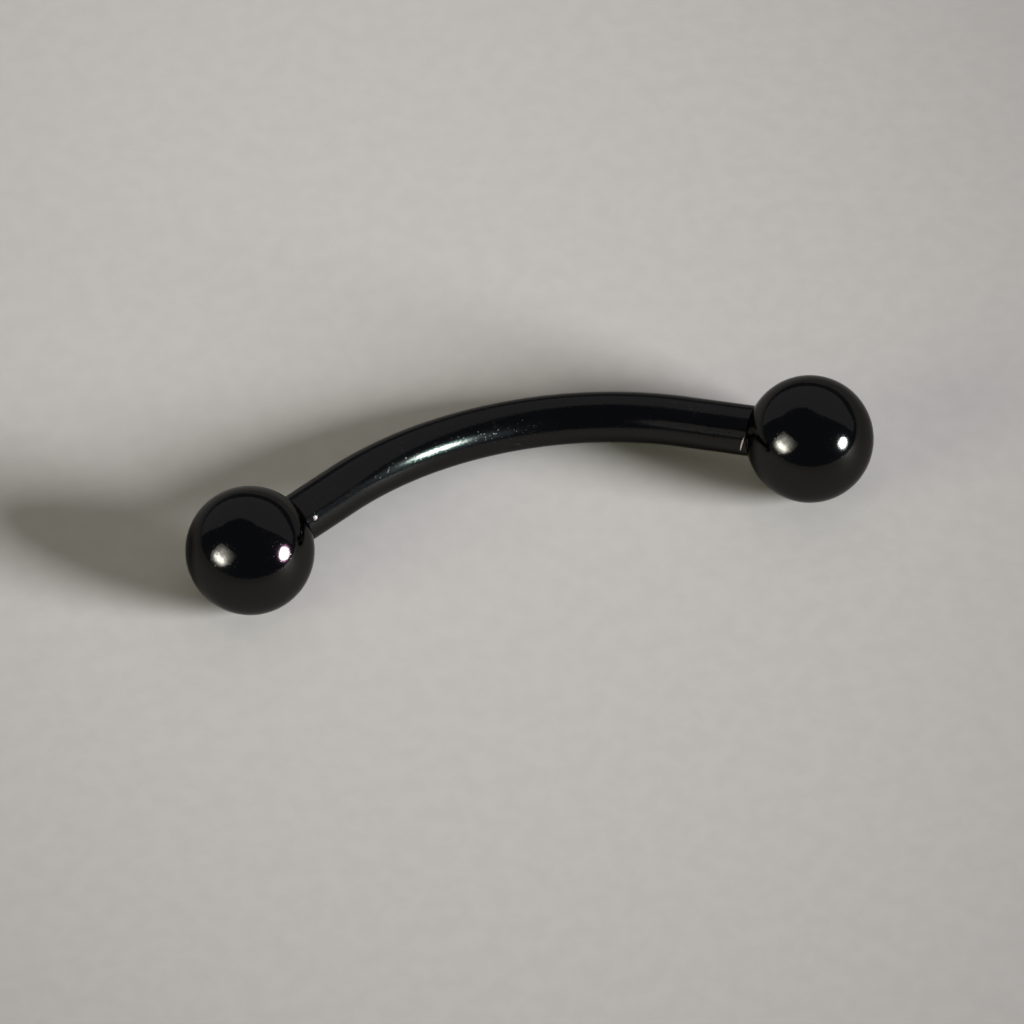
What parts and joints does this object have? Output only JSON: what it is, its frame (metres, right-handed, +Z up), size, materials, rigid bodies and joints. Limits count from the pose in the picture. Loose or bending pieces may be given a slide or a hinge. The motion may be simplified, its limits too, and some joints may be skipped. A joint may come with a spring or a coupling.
{
  "type": "curved eyebrow barbell",
  "caption": "Curved eyebrow barbell: a bent black metal bar with a round ball screwed onto each end, worn through a piercing.",
  "frame": {"origin": "middle of the base of the whole piece as it lies by itself, on both balls and the middle of the bar", "axes": "+X runs straight from the left ball to the right ball, +Y is the side that the bend points to, +Z is up"},
  "size_m": [0.0164, 0.0048, 0.003],
  "materials": {
    "bar_coat": "thin hard black coat on a polished steel wire, glossy, with fine lengthwise polishing marks",
    "ball_coat": "thin hard black coat on a polished steel ball, near mirror gloss"
  },
  "bodies": {
    "bar": {"shaft": "bar_coat"},
    "left_end": {"ball_left": "ball_coat"},
    "right_end": {"ball_right": "ball_coat"}
  },
  "joints": [
    {"name": "unscrew_left", "type": "slide", "parent": "bar", "child": "left_end", "axis": [-0.8339, -0.5255, 0.1689], "range_m": [0, 0.003]},
    {"name": "unscrew_right", "type": "slide", "parent": "bar", "child": "right_end", "axis": [0.8339, -0.5255, 0.1689], "range_m": [0, 0.003]}
  ]
}
